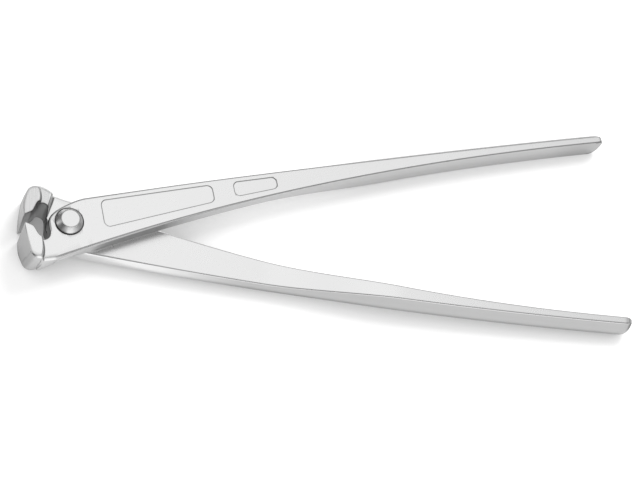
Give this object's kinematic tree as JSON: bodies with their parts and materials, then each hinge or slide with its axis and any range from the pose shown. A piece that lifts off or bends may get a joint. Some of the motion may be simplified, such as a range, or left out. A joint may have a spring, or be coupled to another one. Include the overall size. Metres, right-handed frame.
{
  "type": "rebar tying pliers",
  "caption": "Long-handled end-cutting pincers for twisting and cutting tie wire: slim tapering steel levers lapped flat, turning on a rivet behind narrow square jaws.",
  "frame": {"origin": "centre of the flat face of the rivet's head", "axes": "+Z out of that face along the rivet, +X back to the handle ends along the line that halves the angle between the levers, +Y towards the front lever's handle"},
  "size_m": [0.2953, 0.1046, 0.0248],
  "materials": {
    "lever_steel": "bright zinc plating over forged and ground steel, satin on the flats",
    "rivet_steel": "turned and plated, smoother than the levers"
  },
  "bodies": {
    "front_lever": {"front_lever": "lever_steel", "rivet": "rivet_steel"},
    "rear_lever": {"rear_lever": "lever_steel"}
  },
  "joints": [
    {"name": "rivet_pivot", "type": "hinge", "parent": "front_lever", "child": "rear_lever", "pos_m": [0, 0, -0.0122], "axis": [0, 0, -1], "range_deg": [-11.3, 40]}
  ]
}
